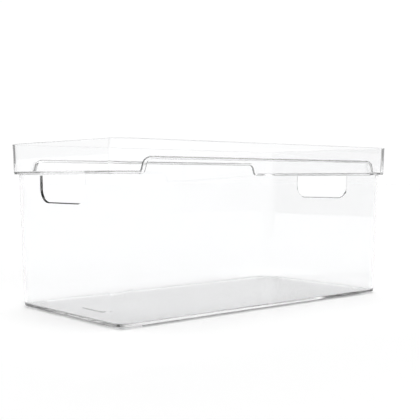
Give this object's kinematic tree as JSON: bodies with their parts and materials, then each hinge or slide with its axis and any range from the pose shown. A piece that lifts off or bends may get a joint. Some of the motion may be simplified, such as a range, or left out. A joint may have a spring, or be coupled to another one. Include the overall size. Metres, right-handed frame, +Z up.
{
  "type": "storage bin",
  "caption": "Open-topped clear plastic fridge bin with a stepped collar, a hand-hole in each end and soft corner feet, for keeping food together on a shelf.",
  "frame": {"origin": "middle of the footprint, on the surface that the feet stand on", "axes": "+X along the bin's length, +Y towards its back, +Z up"},
  "size_m": [0.3, 0.15, 0.13],
  "materials": {
    "clear_plastic": "clear crystal polystyrene, polished",
    "soft_foot": "translucent soft elastomer, satin"
  },
  "bodies": {
    "root": {"tub": "clear_plastic", "foot_front_left": "soft_foot", "foot_back_left": "soft_foot", "foot_front_right": "soft_foot", "foot_back_right": "soft_foot"}
  },
  "joints": []
}
